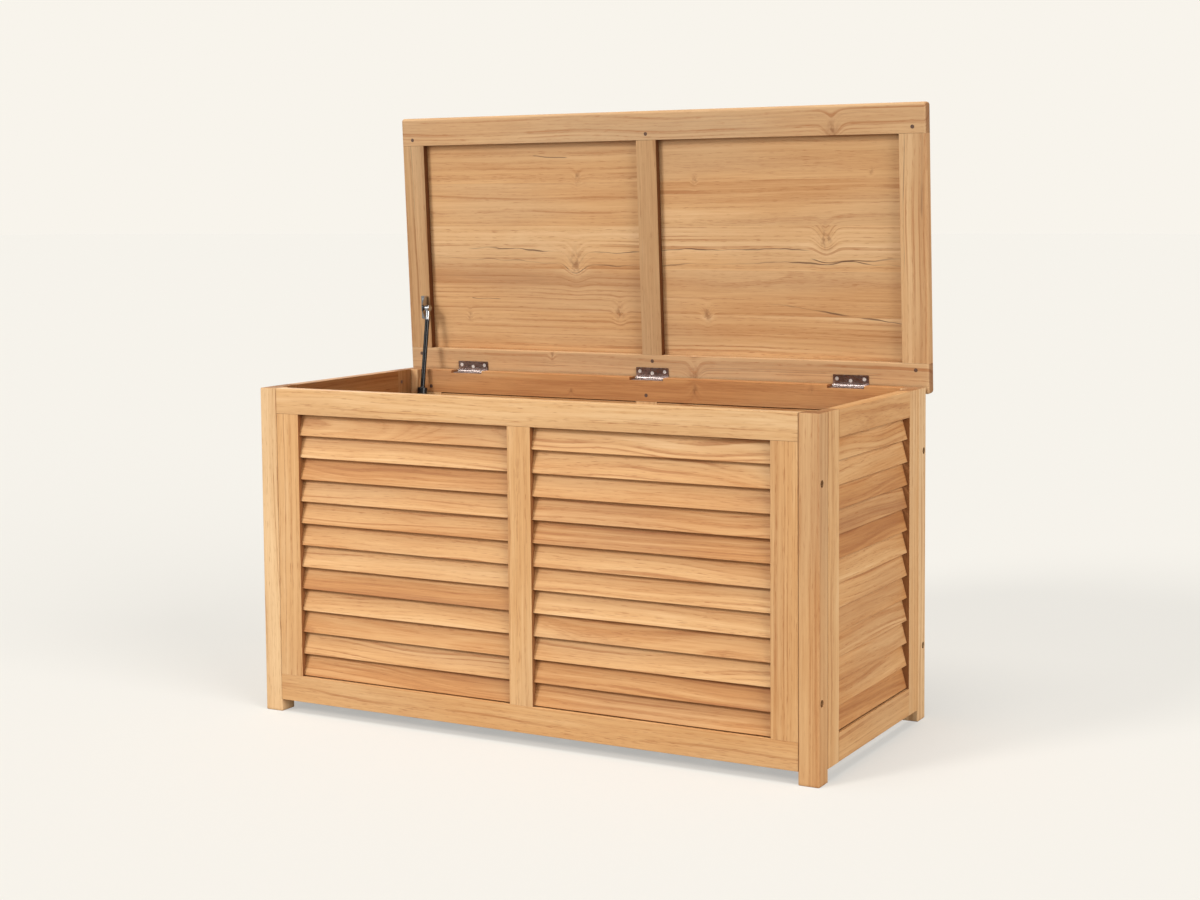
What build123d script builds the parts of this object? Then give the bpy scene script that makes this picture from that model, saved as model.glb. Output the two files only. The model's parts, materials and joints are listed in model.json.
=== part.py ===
"""Louvred teak deck box with a framed lid, three butt hinges and one gas strut.

Everything is modelled in millimetres in box coordinates: x from the middle of the box, y back from the front
face of the legs, z up from the ground. The lid is modelled shut and turned open about its hinge axis. Each
node is moved on export so that the origin is the middle of the ground the box covers with its lid open.
"""
import os
from math import atan2, cos, degrees, hypot, radians, sin

from build123d import *

# Box
WIDTH = 1200.0
DEPTH = 536.0
HEIGHT = 650.0
LEG = 40.0
LEG_ROUND = 3.0
GROUND_GAP = 24.0
PANEL = 24.0
TOP_RAIL = 50.0
BOTTOM_RAIL = 52.0
END_STILE = 52.0
MIDDLE_STILE = 50.0
SIDE_STILE = 50.0
EASE = 1.0
PAST = 1.0  # how far a cutting tool or a joined pin runs past a face

# Joinery
TENON_LENGTH = 25.0
TENON_THICK = 8.0
TENON_SHOULDER = 8.0
TONGUE = 8.0
TONGUE_STOP = 15.0
PEG_RADIUS = 3.8
PEG_DEPTH = 16.0
PEG_SETBACK = 13.0
PEG_PROUD = 0.3

# Louvres
SLATS = 12
SLAT_WIDTH = 43.0
SLAT_THICK = 7.5
SLAT_TILT = 15.0
SLAT_SETBACK = 5.0
SLAT_RISE = 2.0
SLAT_HOUSING = 6.0
SLAT_EASE = 0.8

# Floor
FLOOR_BOARDS = 11
FLOOR_GAP = 10.0
FLOOR_THICK = 12.0
FLOOR_END_GAP = 2.0
CLEAT = 24.0
CLEAT_RISE = 4.0

# Panel bolts and barrel nuts
BOLT_HEIGHTS = (146.0, 528.0)
BOLT_RADIUS = 3.0
BOLT_LENGTH = 60.0
BOLT_HEAD_RADIUS = 5.0
BOLT_HEAD = 6.0
BOLT_SINK_RADIUS = 6.5
BOLT_SINK = 10.0
BOLT_PLAY = 0.3
BOLT_HEAD_ROUND = 0.8
BOLT_KEY = 5.0
BOLT_KEY_DEPTH = 3.5
NUT_RADIUS = 5.0
NUT_LENGTH = 14.0
NUT_PLAY = 0.1

# Lid
LID_OPEN = 87.0
LID_THICK = 25.0
LID_SIDE = 5.0
LID_FRONT = 14.0
LID_BACK = 15.0
LID_RAIL = 60.0
LID_STILE = 56.0
LID_MUNTIN = 46.0
LID_ROUND = 6.0
LID_CORNER = 0.5
LID_REST_GAP = 0.4
LID_PANEL = 10.0
LID_PANEL_DROP = 1.0
LID_GROOVE = 8.0
LID_PANEL_PLAY = 1.0
LID_TENON_RISE = 5.0
LID_BOARDS = 5

# Butt hinges
HINGE_XS = (-442.0, 0.0, 442.0)
HINGE_LENGTH = 75.0
HINGE_LEAF = 21.5
HINGE_PLATE = 2.0
HINGE_BARREL = 3.2
HINGE_OUT = 3.25
HINGE_DROP = 3.5
HINGE_PIN = 1.75
HINGE_PLAY = 0.05
PIN_HEAD = 1.0
PIN_HEAD_LIP = 0.6
PIN_HEAD_GAP = 0.3
HINGE_KNUCKLES = 5
KNUCKLE_GAP = 0.4
KNUCKLE_CLEAR = 0.6
LEAF_CORNER = 1.5
LEAF_RECESS_PLAY = 1.5
LEAF_SCREW_PITCH = 29.0
LEAF_SCREW_EDGE = 8.0
LEAF_SCREW_STAGGER = 3.5

# Countersunk screws
SCREW_HEAD = 3.7
SCREW_SHANK = 1.8
SCREW_LENGTH = 18.0
SCREW_CLEAR = 0.15
SCREW_POINT = 3.0
SCREW_TIP = 0.2
DRIVE_WIDTH = 0.9
DRIVE_SPAN = 3.6
DRIVE_DEPTH = 1.2
FLOOR_SCREW_LENGTH = 25.0

# Gas strut
STRUT_X = -544.5
STRUT_LID_Y = 401.0
STRUT_LID_DROP = 16.0
STRUT_FOOT_Y = 462.0
STRUT_FOOT_Z = 404.0
BALL = 4.5
BALL_PLAY = 0.05
STUD_NECK = 2.5
STUD_COLLAR = 4.5
STUD_COLLAR_LENGTH = 3.0
STUD_REACH = 9.5
STUD_GAP = 0.4
RIVET_HEAD = 1.6
RIVET_RADIUS = 4.0
SOCKET_RADIUS = 7.25
SOCKET_LENGTH = 11.0
SOCKET_MOUTH = 4.0
SOCKET_ROUND = 1.5
SHANK_RADIUS = 4.5
SHANK_REACH = 25.0
ROD_RADIUS = 5.0
ROD_SHOWN = 150.0
TUBE_RADIUS = 11.0
TUBE_WALL = 1.5
TUBE_CAP = 8.0
TUBE_ROUND = 2.0
PISTON_LENGTH = 10.0
PISTON_GAP = 1.0
BRACKET_PLATE = 2.0
BRACKET_LENGTH = 50.0
BRACKET_BASE = 17.0
BRACKET_LOW = 14.0
BRACKET_HIGH = 25.0
BRACKET_FLAT = 12.0
BRACKET_SCREW_PITCH = 34.0
BRACKET_SCREW_INSET = 9.5
FOOT_PLATE = 24.0
FOOT_BASE = 18.0
FOOT_HEIGHT = 36.0
FOOT_SCREW_PITCH = 20.0

# Derived places
PANEL_HEIGHT = HEIGHT - GROUND_GAP
BAY_BOTTOM = BOTTOM_RAIL
BAY_TOP = PANEL_HEIGHT - TOP_RAIL
SLAT_PITCH = (BAY_TOP - BAY_BOTTOM) / SLATS
LONG_PANEL = WIDTH - 2 * LEG
SHORT_PANEL = DEPTH - 2 * LEG
LID_UNDER = HEIGHT + LID_REST_GAP
LID_TOP = LID_UNDER + LID_THICK
LID_LEFT = -WIDTH / 2 - LID_SIDE
LID_REAR = DEPTH + LID_BACK
HINGE_Y = DEPTH + HINGE_OUT
HINGE_Z = LID_UNDER - HINGE_DROP
RECESS_FLOOR = HINGE_Z - HINGE_BARREL
CLEAT_Z = GROUND_GAP + CLEAT_RISE
STRUT_LID_Z = LID_UNDER - STRUT_LID_DROP
PLATE_X = STRUT_X - STUD_REACH

LID_REACH = (HINGE_OUT + (LID_REAR - LID_ROUND - HINGE_Y) * cos(radians(LID_OPEN))
             + (LID_TOP - LID_ROUND - HINGE_Z) * sin(radians(LID_OPEN)) + LID_ROUND)
ORIGIN_Y = (DEPTH + LID_REACH) / 2
HINGE_AXIS = Axis((0, HINGE_Y, HINGE_Z), (1, 0, 0))
UPWARD = (Align.CENTER, Align.CENTER, Align.MIN)


def swing(y, z, angle):
    """The place of a lid point, given shut, with the lid turned up by an angle in degrees."""
    c, s = cos(radians(angle)), sin(radians(angle))
    dy, dz = y - HINGE_Y, z - HINGE_Z
    return HINGE_Y + dy * c + dz * s, HINGE_Z - dy * s + dz * c


def strut_line(angle):
    """Length of the gas strut and its lean back from upright, in degrees, at a lid angle."""
    y, z = swing(STRUT_LID_Y, STRUT_LID_Z, angle)
    dy, dz = y - STRUT_FOOT_Y, z - STRUT_FOOT_Z
    return hypot(dy, dz), degrees(atan2(dy, dz))


STRUT_LENGTH, STRUT_LEAN = strut_line(LID_OPEN)
SHUT_LENGTH, SHUT_LEAN = strut_line(0.0)
STROKE = STRUT_LENGTH - SHUT_LENGTH
TUBE_TOP = STRUT_LENGTH - SHANK_REACH - ROD_SHOWN
TUBE_LENGTH = TUBE_TOP - SHANK_REACH


def block(x, y, z):
    """A square-edged box from three (low, high) ranges."""
    centre = [(low + high) / 2 for low, high in (x, y, z)]
    return Pos(*centre) * Box(x[1] - x[0], y[1] - y[0], z[1] - z[0])


def board(x, y, z, grain, ease=EASE):
    """A piece of timber with its four long arrises eased along the grain axis."""
    body = block(x, y, z)
    return fillet(body.edges().filter_by(grain), ease)


def rod(start, length, radius, axis):
    """A cylinder from a start point along +X, +Y or +Z."""
    plane = Plane(origin=start, z_dir=axis)
    return plane.location * Cylinder(radius, length, align=UPWARD)


def screw(length, head=SCREW_HEAD):
    """A countersunk wood screw, its head flush with z = 0 and its point down, with a cross drive."""
    cone = Pos(0, 0, -HINGE_PLATE) * Cone(SCREW_SHANK, head, HINGE_PLATE, align=UPWARD)
    shank = rod((0, 0, -length), length - HINGE_PLATE, SCREW_SHANK, (0, 0, 1))
    tip = Pos(0, 0, -length - SCREW_POINT) * Cone(SCREW_TIP, SCREW_SHANK, SCREW_POINT, align=UPWARD)
    slot = Pos(0, 0, -DRIVE_DEPTH / 2) * Box(DRIVE_SPAN, DRIVE_WIDTH, DRIVE_DEPTH)
    return cone + shank + tip - slot - Rot(0, 0, 90) * slot


def sink_hole():
    """The countersunk hole through a plate that a screw sits in, its mouth at z = 0."""
    return Pos(0, 0, -HINGE_PLATE) * Cone(SCREW_SHANK + SCREW_CLEAR, SCREW_HEAD + SCREW_CLEAR, HINGE_PLATE,
                                          align=UPWARD)


def slat(x0, x1, z, ease):
    """One louvre from x0 to x1: its lower front arris is at height z, and its top leans inwards."""
    corner = Location((0, SLAT_SETBACK, z), (-SLAT_TILT, 0, 0))
    body = block((x0, x1), (0, SLAT_THICK), (0, SLAT_WIDTH))
    if ease:
        body = fillet(body.edges().filter_by(Axis.X), SLAT_EASE)
    return corner * body


def bay(x0, x1, ease=True):
    """The louvres of one opening, running into housings in the stiles on both sides."""
    heights = [BAY_BOTTOM + SLAT_RISE + n * SLAT_PITCH for n in range(SLATS)]
    return [slat(x0 - SLAT_HOUSING, x1 + SLAT_HOUSING, z, ease) for z in heights]


def cut(body, tools):
    """A body less every tool."""
    for tool in tools:
        body = body - tool
    return body


def tenon_y():
    """The tenon's range through a panel's thickness."""
    return ((PANEL - TENON_THICK) / 2, (PANEL + TENON_THICK) / 2)


def peg(x, z):
    """A dowel peg driven into a panel from its inner face."""
    return rod((x, PANEL - PEG_DEPTH, z), PEG_DEPTH + PEG_PROUD, PEG_RADIUS, (0, 1, 0))


def long_panel():
    """Front or back panel, outer face at y = 0: rails run through, three stiles stand between them."""
    half = LONG_PANEL / 2
    inner = half - END_STILE
    middle = MIDDLE_STILE / 2
    spans = {"stile_left": (-half, -inner), "stile_centre": (-middle, middle), "stile_right": (inner, half)}
    bays = {"slats_left": (-inner, -middle), "slats_right": (middle, inner)}
    housings = [s for x0, x1 in bays.values() for s in bay(x0, x1, ease=False)]
    parts, tenons, pegs = {}, [], []
    for name, (x0, x1) in spans.items():
        body = board((x0, x1), (0, PANEL), (BAY_BOTTOM, BAY_TOP), Axis.Z)
        reach = (BAY_BOTTOM - TENON_LENGTH, BAY_TOP + TENON_LENGTH)
        tenon = block((x0 + TENON_SHOULDER, x1 - TENON_SHOULDER), tenon_y(), reach)
        near = [h for h in housings if h.bounding_box().min.X < x1 and h.bounding_box().max.X > x0]
        pins = [peg((x0 + x1) / 2, z) for z in (BAY_BOTTOM - PEG_SETBACK, BAY_TOP + PEG_SETBACK)]
        parts[name] = cut(body + tenon, near + pins)
        tenons.append(tenon)
        pegs += pins
    for name, z in (("bottom_rail", (0, BAY_BOTTOM)), ("top_rail", (BAY_TOP, PANEL_HEIGHT))):
        parts[name] = cut(board((-half, half), (0, PANEL), z, Axis.X), tenons + pegs)
    for name, (x0, x1) in bays.items():
        parts[name] = bay(x0, x1)
    return parts, pegs


def short_panel():
    """Side panel, outer face at y = 0: stiles run full height, with tongues that enter the legs.

    Its stiles are named for the end of the panel's own x that they stand at.
    """
    half = SHORT_PANEL / 2
    inner = half - SIDE_STILE
    parts, tenons, pegs = {}, [], []
    rails = {"bottom_rail": (0, BAY_BOTTOM), "top_rail": (BAY_TOP, PANEL_HEIGHT)}
    for name, (z0, z1) in rails.items():
        reach = (-inner - TENON_LENGTH, inner + TENON_LENGTH)
        tenon = block(reach, tenon_y(), (z0 + TENON_SHOULDER, z1 - TENON_SHOULDER))
        pins = [peg(side * (inner + PEG_SETBACK), (z0 + z1) / 2) for side in (-1, 1)]
        parts[name] = cut(board((-inner, inner), (0, PANEL), (z0, z1), Axis.X) + tenon, pins)
        tenons.append(tenon)
        pegs += pins
    housings = bay(-inner, inner, ease=False)
    for name, side in (("stile_low_end", -1), ("stile_high_end", 1)):
        edges = sorted((side * inner, side * half))
        body = board(edges, (0, PANEL), (0, PANEL_HEIGHT), Axis.Z)
        tongue_x = sorted((side * (half - EASE), side * (half + TONGUE)))
        tongue = block(tongue_x, tenon_y(), (TONGUE_STOP, PANEL_HEIGHT - TONGUE_STOP))
        parts[name] = cut(body + tongue, housings + tenons + pegs)
    parts["slats"] = bay(-inner, inner)
    return parts, pegs


def bolt_tools(side, y):
    """Bolts, barrel nuts and their clearances at one leg: side is -1 for left and 1 for right."""
    bolts, nuts, holes = [], [], []
    for z in BOLT_HEIGHTS:
        seat = side * (WIDTH / 2 - BOLT_SINK)
        turn = Location((seat, y, z), (0, 90 * side, 0))
        head = Cylinder(BOLT_HEAD_RADIUS, BOLT_HEAD, align=UPWARD)
        head = fillet(head.edges().sort_by(Axis.Z)[-1], BOLT_HEAD_ROUND)
        socket_shape = RegularPolygon(BOLT_KEY / 2, 6, major_radius=False)
        key = extrude(Pos(0, 0, BOLT_HEAD) * socket_shape, -BOLT_KEY_DEPTH)
        shaft = rod((0, 0, -BOLT_LENGTH), BOLT_LENGTH, BOLT_RADIUS, (0, 0, 1))
        bolts.append(turn * (head + shaft - key))
        sink = rod((0, 0, 0), BOLT_SINK + PAST, BOLT_SINK_RADIUS, (0, 0, 1))
        bore_reach = BOLT_LENGTH + 2 * PAST
        bore = rod((0, 0, -bore_reach), bore_reach + PAST, BOLT_RADIUS + BOLT_PLAY, (0, 0, 1))
        nut_x = side * (LONG_PANEL / 2 - END_STILE / 2)
        inward = 1 if y < DEPTH / 2 else -1
        nut = rod((nut_x, y - NUT_LENGTH / 2, z), NUT_LENGTH, NUT_RADIUS, (0, 1, 0))
        low, high = sorted((y - inward * NUT_LENGTH / 2, y + inward * PANEL))
        pocket = rod((nut_x, low, z), high - low, NUT_RADIUS + NUT_PLAY, (0, 1, 0))
        nuts.append(nut - turn * rod((0, 0, -BOLT_LENGTH), BOLT_LENGTH, BOLT_RADIUS + NUT_PLAY, (0, 0, 1)))
        holes += [turn * sink, turn * bore, pocket]
    return bolts, nuts, holes


def leg(side, rear, tools):
    """One leg, less its bolt holes and the groove for a side panel: side is -1 left or 1 right."""
    x = sorted((side * WIDTH / 2, side * (WIDTH / 2 - LEG)))
    y = (DEPTH - LEG, DEPTH) if rear else (0, LEG)
    body = block(x, y, (0, HEIGHT))
    body = fillet(body.edges().filter_by(Axis.Z), LEG_ROUND)
    ends = body.faces().sort_by(Axis.Z)
    body = chamfer(ends[0].edges() + ends[-1].edges(), EASE)
    groove_x = sorted(side * (WIDTH / 2 - t) for t in tenon_y())
    groove_y = (DEPTH - LEG - PAST, DEPTH - LEG + TONGUE) if rear else (LEG - TONGUE, LEG + PAST)
    groove = block(groove_x, groove_y, (GROUND_GAP + TONGUE_STOP, HEIGHT - TONGUE_STOP))
    return cut(body, [groove] + tools)


def lid_bar(x, y, z, grain):
    """A square bar of the lid's frame, its lower arrises eased where they face an opening."""
    body = block(x, y, z)
    lower = [edge for edge in body.edges().filter_by(grain) if edge.center().Z < LID_TOP - PAST]
    inner = [edge for edge in lower if abs(edge.center().X) < -LID_LEFT - PAST
             and -LID_FRONT + PAST < edge.center().Y < LID_REAR - PAST]
    return fillet(inner, EASE)


def lid_frame():
    """The lid's rails, stiles, muntin, panels and pegs, shut, with one rounded outline round them all."""
    outline = block((LID_LEFT, -LID_LEFT), (-LID_FRONT, LID_REAR), (LID_UNDER, LID_TOP))
    outline = fillet(outline.edges().filter_by(Axis.Z), LID_CORNER + LID_ROUND)
    rims = outline.faces().sort_by(Axis.Z)[0].edges() + outline.faces().sort_by(Axis.Z)[-1].edges()
    outline = fillet(rims, LID_ROUND)
    z = (LID_UNDER, LID_TOP)
    front, rear = -LID_FRONT + LID_RAIL, LID_REAR - LID_RAIL
    middle = LID_MUNTIN / 2
    left, right = LID_LEFT + LID_STILE, -LID_LEFT - LID_STILE
    openings = {"left": (left, -middle), "right": (middle, right)}
    uprights = {
        "stile_left": (LID_LEFT, left),
        "muntin": (-middle, middle),
        "stile_right": (right, -LID_LEFT),
    }
    panel_top = LID_TOP - LID_PANEL_DROP
    panel_z = (panel_top - LID_PANEL, panel_top)
    grooves = [block((x0 - LID_GROOVE, x1 + LID_GROOVE), (front - LID_GROOVE, rear + LID_GROOVE), panel_z)
               for x0, x1 in openings.values()]
    parts, tenons, pegs = {}, [], []
    tenon_z = (LID_UNDER + LID_TENON_RISE, LID_UNDER + LID_TENON_RISE + TENON_THICK)
    for name, (x0, x1) in uprights.items():
        reach = (front - TENON_LENGTH, rear + TENON_LENGTH)
        tenon = block((x0 + 2 * TENON_SHOULDER, x1 - 2 * TENON_SHOULDER), reach, tenon_z)
        pins = [rod(((x0 + x1) / 2, y, LID_UNDER - PEG_PROUD), PEG_DEPTH, PEG_RADIUS, (0, 0, 1))
                for y in (front - PEG_SETBACK, rear + PEG_SETBACK)]
        bar = lid_bar((x0, x1), (front, rear), z, Axis.Y) & outline
        parts[name] = cut(bar + tenon, grooves + pins)
        tenons.append(tenon)
        pegs += pins
    for name, y in (("front_rail", (-LID_FRONT, front)), ("rear_rail", (rear, LID_REAR))):
        bar = lid_bar((LID_LEFT, -LID_LEFT), y, z, Axis.X) & outline
        parts[name] = cut(bar, grooves + tenons + pegs)
    for name, (x0, x1) in openings.items():
        reach = LID_GROOVE - LID_PANEL_PLAY
        low, high = front - reach, rear + reach
        width = (high - low) / LID_BOARDS
        starts = [low + n * width for n in range(LID_BOARDS)]
        across = (x0 - reach, x1 + reach)
        parts["panel_" + name] = [block(across, (y0, y0 + width), panel_z) for y0 in starts]
    parts["pegs"] = pegs
    return parts


def leaf_screw_places(x):
    """Screw centres of one leaf, as (x, distance in from the leaf's free edge)."""
    return [(x - LEAF_SCREW_PITCH, LEAF_SCREW_EDGE), (x, LEAF_SCREW_EDGE + LEAF_SCREW_STAGGER),
            (x + LEAF_SCREW_PITCH, LEAF_SCREW_EDGE)]


def hinge_leaf(x, plate_z, knuckles, face_up):
    """One hinge leaf with its rolled knuckles: face_up says which way the screw heads look."""
    free = HINGE_Y - HINGE_LEAF
    plate = block((x - HINGE_LENGTH / 2, x + HINGE_LENGTH / 2), (free, DEPTH - KNUCKLE_CLEAR), plate_z)
    plate = fillet(plate.edges().filter_by(Axis.Z).sort_by(Axis.Y)[:2], LEAF_CORNER)
    pitch = HINGE_LENGTH / HINGE_KNUCKLES
    length = pitch - KNUCKLE_GAP
    for n in knuckles:
        start = x - HINGE_LENGTH / 2 + n * pitch + KNUCKLE_GAP / 2
        tab_z = (max(plate_z[0], HINGE_Z - HINGE_BARREL), min(plate_z[1], HINGE_Z + HINGE_BARREL))
        tab = block((start, start + length), (DEPTH - KNUCKLE_CLEAR - PAST, HINGE_Y), tab_z)
        plate = plate + tab + rod((start, HINGE_Y, HINGE_Z), length, HINGE_BARREL, (1, 0, 0))
    bore = rod((x - HINGE_LENGTH, HINGE_Y, HINGE_Z), 2 * HINGE_LENGTH, HINGE_PIN + HINGE_PLAY, (1, 0, 0))
    places = [(px, free + edge) for px, edge in leaf_screw_places(x)]
    flip = Rot(0 if face_up else 180, 0, 0)
    mouth = plate_z[1] if face_up else plate_z[0]
    return cut(plate, [bore] + [Pos(px, py, mouth) * flip * sink_hole() for px, py in places])


def hinges():
    """Leaves and pins of the three hinges, and the screws of each side."""
    box_z = (RECESS_FLOOR, RECESS_FLOOR + HINGE_PLATE)
    lid_z = (LID_UNDER - HINGE_PLATE, LID_UNDER)
    free = HINGE_Y - HINGE_LEAF
    box_leaves, lid_leaves, pins, box_screws, lid_screws = [], [], [], [], []
    for x in HINGE_XS:
        box_leaves.append(hinge_leaf(x, box_z, (1, 3), True))
        lid_leaves.append(hinge_leaf(x, lid_z, (0, 2, 4), False))
        reach = HINGE_LENGTH / 2 + PIN_HEAD_GAP
        pin = rod((x - reach, HINGE_Y, HINGE_Z), 2 * reach, HINGE_PIN, (1, 0, 0))
        for start in (x - reach - PIN_HEAD, x + reach):
            pin = pin + rod((start, HINGE_Y, HINGE_Z), PIN_HEAD, HINGE_PIN + PIN_HEAD_LIP, (1, 0, 0))
        pins.append(pin)
        for px, edge in leaf_screw_places(x):
            box_screws.append(Pos(px, free + edge, box_z[1]) * screw(SCREW_LENGTH))
            lid_screws.append(Pos(px, free + edge, lid_z[0]) * Rot(180, 0, 0) * screw(SCREW_LENGTH))
    return box_leaves, lid_leaves, pins, box_screws, lid_screws


def hinge_recesses():
    """The housings cut in the back rail's top for the box leaves, open at both faces."""
    half = HINGE_LENGTH / 2 + LEAF_RECESS_PLAY
    return [block((x - half, x + half), (DEPTH - PANEL - PAST, DEPTH + PAST), (RECESS_FLOOR, HEIGHT + PAST))
            for x in HINGE_XS]


def floor():
    """Floor boards on two cleats, with their screws."""
    reach = WIDTH / 2 - LEG - FLOOR_END_GAP
    cleats = []
    for y in ((PANEL, PANEL + CLEAT), (DEPTH - PANEL - CLEAT, DEPTH - PANEL)):
        cleats.append(board((-reach, reach), y, (CLEAT_Z, CLEAT_Z + CLEAT), Axis.X))
    width = (2 * reach - (FLOOR_BOARDS - 1) * FLOOR_GAP) / FLOOR_BOARDS
    top = CLEAT_Z + CLEAT + FLOOR_THICK
    boards, screws = [], []
    for n in range(FLOOR_BOARDS):
        x0 = -reach + n * (width + FLOOR_GAP)
        y = (PANEL + FLOOR_END_GAP, DEPTH - PANEL - FLOOR_END_GAP)
        plank = board((x0, x0 + width), y, (top - FLOOR_THICK, top), Axis.Y)
        for screw_x in (x0 + width / 4, x0 + 3 * width / 4):
            for screw_y in (PANEL + CLEAT / 2, DEPTH - PANEL - CLEAT / 2):
                screws.append(Pos(screw_x, screw_y, top) * screw(FLOOR_SCREW_LENGTH))
        boards.append(plank)
    return cleats, boards, screws


def stud(tail):
    """A ball stud along +X: its ball at x = 0, its collar against a plate, and a riveted tail if asked."""
    reach = STUD_REACH
    ball = Sphere(BALL)
    neck = rod((-reach + PAST, 0, 0), reach - PAST, STUD_NECK, (1, 0, 0))
    seat = 0.0 if tail else STUD_GAP
    collar = rod((-reach + seat, 0, 0), STUD_COLLAR_LENGTH - seat, STUD_COLLAR, (1, 0, 0))
    body = ball + neck + collar
    if tail:
        tail_end = -reach - BRACKET_PLATE - RIVET_HEAD
        body = body + rod((tail_end, 0, 0), BRACKET_PLATE + RIVET_HEAD + PAST, STUD_NECK, (1, 0, 0))
        body = body + rod((tail_end, 0, 0), RIVET_HEAD, RIVET_RADIUS, (1, 0, 0))
    return body


def socket():
    """A ball socket at the origin, its mouth towards -X and its shank along -Z."""
    cup = rod((-SOCKET_LENGTH / 2, 0, 0), SOCKET_LENGTH, SOCKET_RADIUS, (1, 0, 0))
    cup = fillet(cup.edges().filter_by(GeomType.CIRCLE), SOCKET_ROUND)
    shank = rod((0, 0, -SHANK_REACH), SHANK_REACH, SHANK_RADIUS, (0, 0, 1))
    hollow = Sphere(BALL + BALL_PLAY)
    mouth = rod((-SOCKET_LENGTH, 0, 0), SOCKET_LENGTH, SOCKET_MOUTH, (1, 0, 0))
    return cup + shank - hollow - mouth


def strut():
    """The gas strut's pieces, stood upright with the lower ball at the origin and the lid's ball above."""
    rod_foot = TUBE_TOP - TUBE_CAP - PISTON_GAP - PISTON_LENGTH
    piston = rod((0, 0, rod_foot), PISTON_LENGTH, TUBE_RADIUS - TUBE_WALL - HINGE_PLAY, (0, 0, 1))
    bar = rod((0, 0, rod_foot), STRUT_LENGTH - SHANK_REACH - rod_foot, ROD_RADIUS, (0, 0, 1))
    tube = rod((0, 0, SHANK_REACH), TUBE_LENGTH, TUBE_RADIUS, (0, 0, 1))
    tube = fillet(tube.edges().filter_by(GeomType.CIRCLE), TUBE_ROUND)
    hollow = SHANK_REACH + TUBE_CAP
    bore = rod((0, 0, hollow), TUBE_LENGTH - 2 * TUBE_CAP, TUBE_RADIUS - TUBE_WALL, (0, 0, 1))
    eye = rod((0, 0, hollow), TUBE_LENGTH, ROD_RADIUS + HINGE_PLAY, (0, 0, 1))
    return {
        "strut_rod": bar,
        "strut_piston": piston - bar,
        "strut_rod_end": Pos(0, 0, STRUT_LENGTH) * socket(),
        "strut_tube": tube - bore - eye,
        "strut_tube_end": Rot(180, 0, 0) * socket(),
        "strut_foot_stud": stud(False),
    }


def lid_bracket():
    """The angle bracket under the lid's left stile, its tapered ear carrying the upper ball stud."""
    y0, y1 = STRUT_LID_Y - BRACKET_LENGTH / 2, STRUT_LID_Y + BRACKET_LENGTH / 2
    base = block((PLATE_X - BRACKET_BASE, PLATE_X), (y0, y1), (LID_UNDER - BRACKET_PLATE, LID_UNDER))
    outline = [(y0, 0), (y0, -BRACKET_LOW), (STRUT_LID_Y - BRACKET_FLAT / 2, -BRACKET_HIGH),
               (STRUT_LID_Y + BRACKET_FLAT / 2, -BRACKET_HIGH), (y1, -BRACKET_LOW), (y1, 0)]
    ear = extrude(Plane.YZ * make_face(Polyline(*outline, close=True)), BRACKET_PLATE)
    body = base + Pos(PLATE_X - BRACKET_PLATE, 0, LID_UNDER) * ear
    start = (PLATE_X - BRACKET_BASE, STRUT_LID_Y, STRUT_LID_Z)
    hole = rod(start, 2 * BRACKET_BASE, STUD_NECK + HINGE_PLAY, (1, 0, 0))
    turned = [Pos(PLATE_X - BRACKET_SCREW_INSET, STRUT_LID_Y + side * BRACKET_SCREW_PITCH / 2,
                  LID_UNDER - BRACKET_PLATE) * Rot(180, 0, 0) for side in (-1, 1)]
    screws = [place * screw(SCREW_LENGTH) for place in turned]
    return cut(body, [hole] + [place * sink_hole() for place in turned]), screws


def foot_bracket():
    """The cranked bracket on the left rear stile that the lower ball stud stands on."""
    wall = -WIDTH / 2 + PANEL
    z = (STRUT_FOOT_Z - FOOT_HEIGHT / 2, STRUT_FOOT_Z + FOOT_HEIGHT / 2)
    bend = STRUT_FOOT_Y + FOOT_PLATE / 2
    ear = block((PLATE_X - BRACKET_PLATE, PLATE_X), (bend - FOOT_PLATE, bend), z)
    web = block((wall, PLATE_X), (bend - BRACKET_PLATE, bend), z)
    base = block((wall, wall + BRACKET_PLATE), (bend - BRACKET_PLATE, bend + FOOT_BASE), z)
    turned = [Pos(wall + BRACKET_PLATE, bend + FOOT_BASE / 2, STRUT_FOOT_Z + side * FOOT_SCREW_PITCH / 2)
              * Rot(0, 90, 0) for side in (-1, 1)]
    screws = [place * screw(SCREW_LENGTH) for place in turned]
    return cut(ear + web + base, [place * sink_hole() for place in turned]), screws


def opened(shapes):
    """Lid shapes turned from shut to the angle at which the lid stands open."""
    return [s.rotate(HINGE_AXIS, -LID_OPEN) for s in shapes]


def as_list(shape):
    """One shape or a list of shapes, as a list."""
    return list(shape) if isinstance(shape, (list, tuple)) else [shape]


def save(node, shapes):
    """Write one node, moved so that the origin is the middle of the ground it covers."""
    moved = [Pos(0, -ORIGIN_Y, 0) * s for s in as_list(shapes)]
    solids = [solid for s in moved for solid in s.solids()]
    shape = solids[0] if len(solids) == 1 else Compound(children=solids)
    export_step(shape, f"parts/{node}.step")


def swapped(side):
    """The other of left and right."""
    return "right" if side == "left" else "left"


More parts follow.
